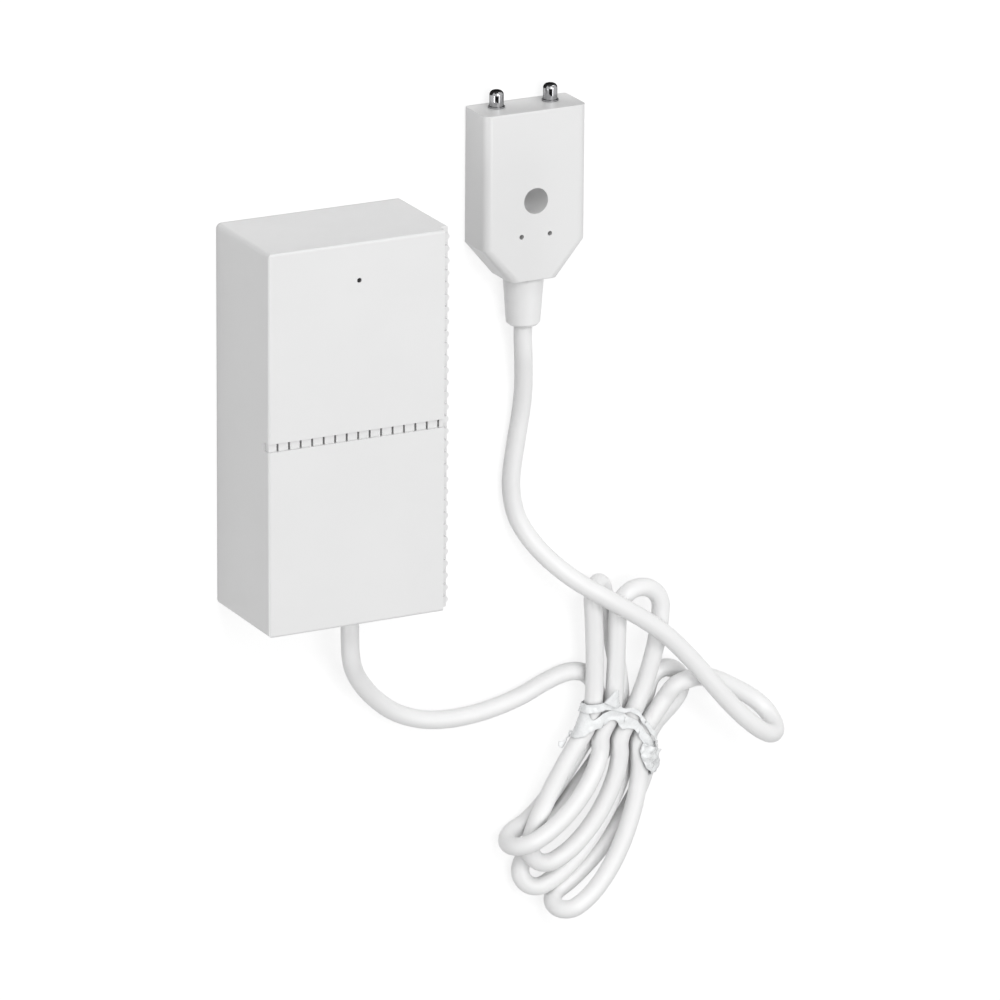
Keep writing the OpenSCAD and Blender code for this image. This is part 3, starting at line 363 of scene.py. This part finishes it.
def patch_grid():
    """Crumpled film below the second winding, on the right."""
    grid = []
    for a in spaced(PATCH_LOW[0][0], PATCH_LOW[-1][0], PATCH_COLUMNS):
        edge = spaced(between(PATCH_LOW, a), between(PATCH_HIGH, a), FILM_ROWS)
        grid.append([tie_point(a, between(PATCH_HEIGHT, a), h) for h in edge])
    return grid


def ear_grid():
    """A fold of film that stands up from the second winding, open on its right."""
    left, right, tip = Vector(EAR_LEFT_MM), Vector(EAR_RIGHT_MM), Vector(EAR_TIP_MM)
    grid = []
    for u in spaced(0, 1, EAR_COLUMNS):
        foot = left + u * (right - left)
        column = []
        for v in spaced(0, EAR_END, EAR_ROWS):
            arch = Vector((0, EAR_ARCH_MM * math.sin(math.pi * u) * (1 - v), 0))
            column.append(tie_point(*(foot * (1 - v) + v * tip + arch)))
        grid.append(column)
    return grid


def tail_grid():
    """Loose end on the left, along the outermost strand."""
    points = smooth_line([tie_point(*p) for p in TAIL_LINE_MM], TAIL_STEPS)
    table = [(i / (len(TAIL_WIDTHS_MM) - 1), w) for i, w in enumerate(TAIL_WIDTHS_MM)]
    grid = []
    for i, point in enumerate(points):
        half = between(table, i / (len(points) - 1)) / 2
        grid.append([point + TAIL_SIDE * t for t in spaced(-half, half, TAIL_STEPS)])
    return grid


def strand_tree(points):
    """Search tree of the cable's line near the tie."""
    middle = tie_point(0, 0, 0)
    near = []
    for a, b in zip(points, points[1:]):
        if (a - middle).length < TREE_REACH_MM:
            near += [a.lerp(b, t / TREE_PARTS) for t in range(TREE_PARTS)]
    tree = kdtree.KDTree(len(near))
    for i, point in enumerate(near):
        tree.insert(point, i)
    tree.balance()
    return tree


def clear_of(tree, point, clear):
    """The point, moved out of the cable and up from the floor."""
    for _ in range(3):
        nearest, _, distance = tree.find(point)
        if 0 < distance < clear:
            point = nearest + (point - nearest) * clear / distance
    point.z = max(point.z, FLOOR_CLEAR_MM)
    return point


def smoothed(grid, tree, clear, closed):
    """One round of smoothing: the grid's points go towards their neighbours' means, clear of the cable."""
    count, width = len(grid), len(grid[0])
    laid = []
    for i in range(count):
        row = []
        for j in range(width):
            around = [grid[i][k] for k in (j - 1, j + 1) if 0 <= k < width]
            if closed or 0 < i < count - 1:
                around += [grid[i - 1][j], grid[(i + 1) % count][j]]
            mean = sum(around, Vector()) / len(around)
            edge = j in (0, width - 1) or not closed and i in (0, count - 1)
            slack = FILM_EDGE_SLACK if edge else FILM_SLACK
            row.append(clear_of(tree, grid[i][j].lerp(mean, slack), clear))
        laid.append(row)
    return laid


def film_sheet(bm, tree, grid, lift, seed, depth, size, closed=False):
    """Lay a grid of points on the strands as film: slack between them, with creases of a depth and size."""
    clear = FILM_CLEAR_MM + lift
    for _ in range(FILM_ROUNDS):
        grid = smoothed(grid, tree, clear, closed)
    verts = []
    for row in grid:
        line = []
        for point in row:
            nearest = tree.find(point)[0]
            crease = abs(noise.noise(point / size + Vector((seed, 2 * seed, 3 * seed))))
            out = (point - nearest).normalized()
            line.append(bm.verts.new(clear_of(tree, point + depth * crease * out, clear) * MM))
        verts.append(line)
    if closed:
        verts.append(verts[0])
    for one, two in zip(verts, verts[1:]):
        for a, b, c, d in zip(one, one[1:], two[1:], two):
            bm.faces.new((a, b, c, d))


def make_tie():
    tree = strand_tree(cable_points())
    bm = bmesh.new()
    first = winding_grid(0.1, FIRST_LOW, FIRST_HIGH)
    second = winding_grid(0.5, SECOND_LOW, SECOND_HIGH)
    film_sheet(bm, tree, first, lift=0, seed=1, depth=0.5, size=2.2, closed=True)
    film_sheet(bm, tree, second, lift=0.35, seed=4, depth=0.5, size=1.8, closed=True)
    film_sheet(bm, tree, patch_grid(), lift=0.3, seed=11, depth=1.5, size=1.5)
    film_sheet(bm, tree, ear_grid(), lift=0.3, seed=7, depth=0.4, size=1.5)
    film_sheet(bm, tree, tail_grid(), lift=0.1, seed=15, depth=0.5, size=1.2)
    mesh = bpy.data.meshes.new("tie_film")
    bm.normal_update()
    bm.to_mesh(mesh)
    bm.free()
    mesh.polygons.foreach_set("use_smooth", [True] * len(mesh.polygons))
    obj = bpy.data.objects.new("tie_film", mesh)
    scene.collection.objects.link(obj)
    solid = obj.modifiers.new("thickness", "SOLIDIFY")
    solid.thickness = FILM_T_MM * MM
    solid.offset = 0
    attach(obj, "base")
    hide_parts("hank_tie")
    return obj


tie = make_tie()
line_length(cable_points()) * MM


# Materials

def new_material(name):
    material = bpy.data.materials.new(name)
    material.use_nodes = True
    tree = material.node_tree
    shader = tree.nodes["Principled BSDF"]
    place = tree.nodes.new("ShaderNodeTexCoord").outputs["Object"]
    return material, tree, shader, place


def noise_node(tree, place, scale, detail=3.0):
    node = tree.nodes.new("ShaderNodeTexNoise")
    node.inputs["Scale"].default_value = scale
    node.inputs["Detail"].default_value = detail
    tree.links.new(place, node.inputs["Vector"])
    return node.outputs["Fac"]


def spread(tree, value, low, high):
    """Map a noise value, which keeps near its middle, to low..high."""
    node = tree.nodes.new("ShaderNodeMapRange")
    node.inputs["From Min"].default_value = 0.3
    node.inputs["From Max"].default_value = 0.7
    node.inputs["To Min"].default_value = low
    node.inputs["To Max"].default_value = high
    tree.links.new(value, node.inputs["Value"])
    return node.outputs["Result"]


def two_colours(tree, value, first, second):
    node = tree.nodes.new("ShaderNodeValToRGB")
    node.color_ramp.elements[0].position = 0.35
    node.color_ramp.elements[0].color = (*first, 1)
    node.color_ramp.elements[1].position = 0.65
    node.color_ramp.elements[1].color = (*second, 1)
    tree.links.new(value, node.inputs["Fac"])
    return node.outputs["Color"]


def bump(tree, shader, height, distance, strength):
    node = tree.nodes.new("ShaderNodeBump")
    node.inputs["Strength"].default_value = strength
    node.inputs["Distance"].default_value = distance
    tree.links.new(height, node.inputs["Height"])
    tree.links.new(node.outputs["Normal"], shader.inputs["Normal"])


# How far the painted crevice shade looks for a nearby surface, in metres
PAINTED_SHADE_REACH = 0.001
# The colour sockets of a Mix node, whose number sockets have the same names
MIX_A = 6
MIX_B = 7
MIX_RESULT = 2


def paint_shade_in_crevices(tree, colour, shade):
    """The colour with painted shade: darker by up to shade where another surface is close in front, as an
    ambient occlusion node finds it.
    """
    near = tree.nodes.new("ShaderNodeAmbientOcclusion")
    near.inputs["Distance"].default_value = PAINTED_SHADE_REACH
    node = tree.nodes.new("ShaderNodeMix")
    node.data_type = "RGBA"
    node.blend_type = "MULTIPLY"
    node.inputs["Factor"].default_value = shade
    tree.links.new(colour, node.inputs[MIX_A])
    tree.links.new(near.outputs["AO"], node.inputs[MIX_B])
    return node.outputs[MIX_RESULT]


def moulded(name, colour, shade, roughness, grain, depth, patch=60, painted_crevice_shade=0.25):
    """Moulded plastic: patches of shade, painted shade in crevices, roughness that varies, and a fine
    grain.
    """
    material, tree, shader, place = new_material(name)
    patches = noise_node(tree, place, patch)
    shaded = tuple(c * shade for c in colour)
    mottled = two_colours(tree, patches, shaded, colour)
    # Painted shade: the colour is darker where surfaces lie close, as in grooves and between strands
    tree.links.new(paint_shade_in_crevices(tree, mottled, painted_crevice_shade), shader.inputs["Base Color"])
    fine = noise_node(tree, place, grain)
    rough = spread(tree, noise_node(tree, place, patch * 7), *roughness)
    tree.links.new(rough, shader.inputs["Roughness"])
    bump(tree, shader, fine, depth, 1.0)
    return material


def metal(name, colour, shade, roughness, grain, depth, stretch=(1, 1, 1), edge=1):
    """Plated or bare metal with a drawn grain along the axis that stretch makes small.

    Edge is how bright it is at a grazing view.
    """
    material, tree, shader, place = new_material(name)
    mapping = tree.nodes.new("ShaderNodeMapping")
    mapping.inputs["Scale"].default_value = stretch
    tree.links.new(place, mapping.inputs["Vector"])
    drawn = noise_node(tree, mapping.outputs["Vector"], grain)
    shaded = tuple(c * shade for c in colour)
    tree.links.new(two_colours(tree, drawn, shaded, colour), shader.inputs["Base Color"])
    tree.links.new(spread(tree, drawn, *roughness), shader.inputs["Roughness"])
    shader.inputs["Metallic"].default_value = 1
    shader.inputs["Specular Tint"].default_value = (edge, edge, edge, 1)
    bump(tree, shader, drawn, depth, 1.0)
    return material


def board_resist(name):
    """Green solder resist over tracks that stand a little proud."""
    material, tree, shader, place = new_material(name)
    tracks = tree.nodes.new("ShaderNodeTexBrick")
    tracks.inputs["Scale"].default_value = 260
    tracks.inputs["Mortar Size"].default_value = 0.06
    tracks.inputs["Color1"].default_value = (0.02, 0.13, 0.055, 1)
    tracks.inputs["Color2"].default_value = (0.025, 0.15, 0.065, 1)
    tracks.inputs["Mortar"].default_value = (0.05, 0.27, 0.12, 1)
    tree.links.new(place, tracks.inputs["Vector"])
    tree.links.new(tracks.outputs["Color"], shader.inputs["Base Color"])
    rough = spread(tree, noise_node(tree, place, 900), 0.28, 0.42)
    tree.links.new(rough, shader.inputs["Roughness"])
    bump(tree, shader, tracks.outputs["Fac"], 0.00004, 0.8)
    return material


def clear(name, colour, shade):
    """Clear or smoked moulding with faint flow marks."""
    material, tree, shader, place = new_material(name)
    flow = noise_node(tree, place, 500)
    tint = two_colours(tree, flow, tuple(c * shade for c in colour), colour)
    tree.links.new(tint, shader.inputs["Base Color"])
    tree.links.new(spread(tree, flow, 0.05, 0.15), shader.inputs["Roughness"])
    shader.inputs["Transmission Weight"].default_value = 0.9
    shader.inputs["IOR"].default_value = 1.49
    bump(tree, shader, flow, 0.00001, 0.5)
    return material


# Colour, its darker share, range of roughness, scale of the grain and its depth in metres,
# then a plastic's scale of patches and its painted crevice shade, or a metal's stretch and edge
MATERIALS = {
    "white_plastic": moulded(
        "white_plastic", (0.83, 0.83, 0.83), 0.985, (0.28, 0.38), 5200, 0.000006,
    ),
    "base_plastic": moulded("base_plastic", (0.8, 0.8, 0.8), 0.97, (0.5, 0.62), 3600, 0.00001),
    # The cable has the strongest painted shade, in the contact lines between its strands
    "cable_jacket": moulded(
        "cable_jacket", (0.94, 0.94, 0.94), 0.98, (0.34, 0.46), 1700, 0.000008, 130, 0.6,
    ),
    "tie_plastic": moulded(
        "tie_plastic", (0.935, 0.95, 0.955), 0.98, (0.22, 0.34), 1400, 0.000008, 300,
    ),
    "black_plastic": moulded("black_plastic", (0.03, 0.03, 0.032), 0.8, (0.45, 0.6), 3000, 0.00001),
    "terminal_plastic": moulded(
        "terminal_plastic", (0.05, 0.3, 0.16), 0.9, (0.42, 0.55), 2500, 0.00001,
    ),
    "cell_jacket": moulded("cell_jacket", (0.12, 0.24, 0.44), 0.92, (0.25, 0.36), 900, 0.00001),
    "red_insulation": moulded("red_insulation", (0.5, 0.04, 0.03), 0.9, (0.4, 0.52), 2500, 0.00001),
    "grey_insulation": moulded(
        "grey_insulation", (0.16, 0.16, 0.165), 0.9, (0.4, 0.52), 2500, 0.00001,
    ),
    "pin_metal": metal(
        "pin_metal", (0.42, 0.42, 0.43), 0.92, (0.05, 0.1), 900, 0.000001, (1, 0.1, 1), 0.3,
    ),
    "contact_metal": metal(
        "contact_metal", (0.66, 0.64, 0.6), 0.9, (0.22, 0.34), 1500, 0.000003, (0.1, 1, 1),
    ),
    "screw_metal": metal("screw_metal", (0.6, 0.6, 0.6), 0.88, (0.25, 0.38), 1800, 0.000004),
    "antenna_metal": metal(
        "antenna_metal", (0.68, 0.47, 0.24), 0.9, (0.25, 0.36), 1600, 0.000003, (1, 0.1, 1),
    ),
    "shield_metal": metal(
        "shield_metal", (0.7, 0.7, 0.71), 0.93, (0.28, 0.4), 1400, 0.000003, (0.1, 1, 1),
    ),
    "board": board_resist("board"),
    "clear_plastic": clear("clear_plastic", (0.96, 0.98, 0.98), 0.94),
    # Near-black smoked tint on the light guide, which stands in for the shade in the pinhole in front of
    # it: painted shade
    "smoked_plastic": clear("smoked_plastic", (0.02, 0.02, 0.022), 0.7),
}


def dress(obj, material):
    obj.data.materials.clear()
    obj.data.materials.append(material)


SMOOTH_ANGLE = math.radians(32)
WELD_DISTANCE = 1e-6


def dress_nodes():
    """Give each CAD node its slot's material and smooth shading; the shapes stay as they are."""
    for row in frame["record"]["subparts"]:
        obj = nodes[row["node"]]
        dress(obj, MATERIALS[row["material_slot"]])
        mesh = obj.data
        mesh.polygons.foreach_set("use_smooth", [True] * len(mesh.polygons))
        weld = obj.modifiers.new("weld", "WELD")
        weld.merge_threshold = WELD_DISTANCE
        split = obj.modifiers.new("split", "EDGE_SPLIT")
        split.split_angle = SMOOTH_ANGLE
        obj.modifiers.new("normals", "WEIGHTED_NORMAL")


dress(cable, MATERIALS["cable_jacket"])
dress(tie, MATERIALS["tie_plastic"])
dress_nodes()


# Floor, world and light

FLOOR_HALF = 3.0
# The floor's grey for light, and its grey and glow where it is seen
FLOOR_LIT = 0.6
FLOOR_SEEN = 0.3
FLOOR_GLOW = 0.78


def grey(level):
    return (level, level, level, 1)


def make_floor():
    mesh = bpy.data.meshes.new("floor")
    s = FLOOR_HALF
    mesh.from_pydata([(-s, -s, 0), (s, -s, 0), (s, s, 0), (-s, s, 0)], [], [(0, 1, 2, 3)])
    obj = bpy.data.objects.new("floor", mesh)
    scene.collection.objects.link(obj)
    material = bpy.data.materials.new("floor")
    material.use_nodes = True
    tree = material.node_tree
    tree.nodes.clear()
    output = tree.nodes.new("ShaderNodeOutputMaterial")
    mix = tree.nodes.new("ShaderNodeMixShader")
    seen = tree.nodes.new("ShaderNodeAddShader")
    lit = tree.nodes.new("ShaderNodeBsdfDiffuse")
    lit.inputs["Color"].default_value = grey(FLOOR_LIT)
    shaded = tree.nodes.new("ShaderNodeBsdfDiffuse")
    shaded.inputs["Color"].default_value = grey(FLOOR_SEEN)
    glow = tree.nodes.new("ShaderNodeEmission")
    glow.inputs["Color"].default_value = grey(1)
    glow.inputs["Strength"].default_value = FLOOR_GLOW
    tree.links.new(shaded.outputs["BSDF"], seen.inputs[0])
    tree.links.new(glow.outputs["Emission"], seen.inputs[1])
    tree.links.new(seen_rays(tree), mix.inputs["Fac"])
    tree.links.new(lit.outputs["BSDF"], mix.inputs[1])
    tree.links.new(seen.outputs["Shader"], mix.inputs[2])
    tree.links.new(mix.outputs["Shader"], output.inputs["Surface"])
    mesh.materials.append(material)


def seen_rays(tree):
    """One for rays from the camera, in a reflection or through clear plastic, and zero for light."""
    path = tree.nodes.new("ShaderNodeLightPath")
    total = path.outputs["Is Camera Ray"]
    for name in ("Is Glossy Ray", "Is Transmission Ray"):
        add = tree.nodes.new("ShaderNodeMath")
        add.operation = "MAXIMUM"
        tree.links.new(total, add.inputs[0])
        tree.links.new(path.outputs[name], add.inputs[1])
        total = add.outputs["Value"]
    return total


AMBIENT_TOWARDS = (-0.35, 0.94, 0)
AMBIENT_NEAR = 0.1
AMBIENT_FAR = 0.63


def make_world():
    """Soft light that is stronger from the far side, and white where it is seen."""
    world = bpy.data.worlds.new("studio")
    scene.world = world
    world.use_nodes = True
    tree = world.node_tree
    background = tree.nodes["Background"]
    background.inputs["Color"].default_value = grey(1)
    facing = tree.nodes.new("ShaderNodeVectorMath")
    facing.operation = "DOT_PRODUCT"
    facing.inputs[1].default_value = AMBIENT_TOWARDS
    tree.links.new(tree.nodes.new("ShaderNodeTexCoord").outputs["Generated"], facing.inputs[0])
    ambient = tree.nodes.new("ShaderNodeMapRange")
    ambient.inputs["From Min"].default_value = -1
    ambient.inputs["To Min"].default_value = AMBIENT_NEAR
    ambient.inputs["To Max"].default_value = AMBIENT_FAR
    tree.links.new(facing.outputs["Value"], ambient.inputs["Value"])
    strength = tree.nodes.new("ShaderNodeMix")
    strength.data_type = "FLOAT"
    strength.inputs["B"].default_value = 1
    tree.links.new(seen_rays(tree), strength.inputs["Factor"])
    tree.links.new(ambient.outputs["Result"], strength.inputs["A"])
    tree.links.new(strength.outputs["Result"], background.inputs["Strength"])


def put(obj, place, aim):
    scene.collection.objects.link(obj)
    obj.location = place
    obj.rotation_euler = (Vector(aim) - Vector(place)).to_track_quat("-Z", "Y").to_euler()


def area_light(name, place, aim, size, power):
    data = bpy.data.lights.new(name, "AREA")
    data.shape = "RECTANGLE"
    data.size, data.size_y = size
    data.energy = power
    put(bpy.data.objects.new(name, data), place, aim)


CARD_GREY = 0.01
CARD_ROUGHNESS = 0.9


def dark_card(name, place, aim, size):
    """A black card that shows in reflections alone, so that bright metal has something dark to mirror."""
    mesh = bpy.data.meshes.new(name)
    x, y = size[0] / 2, size[1] / 2
    mesh.from_pydata([(-x, -y, 0), (x, -y, 0), (x, y, 0), (-x, y, 0)], [], [(0, 1, 2, 3)])
    obj = bpy.data.objects.new(name, mesh)
    put(obj, place, aim)
    obj.visible_camera = False
    obj.visible_diffuse = False
    obj.visible_transmission = False
    obj.visible_shadow = False
    material = bpy.data.materials.new(name)
    material.use_nodes = True
    shader = material.node_tree.nodes["Principled BSDF"]
    shader.inputs["Base Color"].default_value = grey(CARD_GREY)
    shader.inputs["Roughness"].default_value = CARD_ROUGHNESS
    mesh.materials.append(material)


MIDDLE = (0.04, -0.03, 0)

make_floor()
make_world()
area_light("overhead", (0.12, 0.04, 1.3), MIDDLE, (1, 1), 7.5)
area_light("key", (-0.1, 0.75, 1.1), MIDDLE, (0.3, 0.3), 2.75)
area_light("far_side", (0.1, 1.4, 0.8), MIDDLE, (1.2, 0.6), 0.8)
area_light("left_rim", (-1.24, -0.51, 0.65), MIDDLE, (0.6, 0.12), 2.2)
area_light("top_rim", (0.69, 1.25, 0.48), MIDDLE, (0.6, 0.12), 1.8)
dark_card("far_card", (0.1, 1.9, 0.6), MIDDLE, (3.2, 1.3))
dark_card("pin_card", (0.05, 0.161, 0.0001), (0.05, 0.161, -1), (0.12, 0.2036))
dark_card("near_card", (-0.35, -0.42, 0.9), (-0.35, -0.42, -1), (1.1, 0.7))
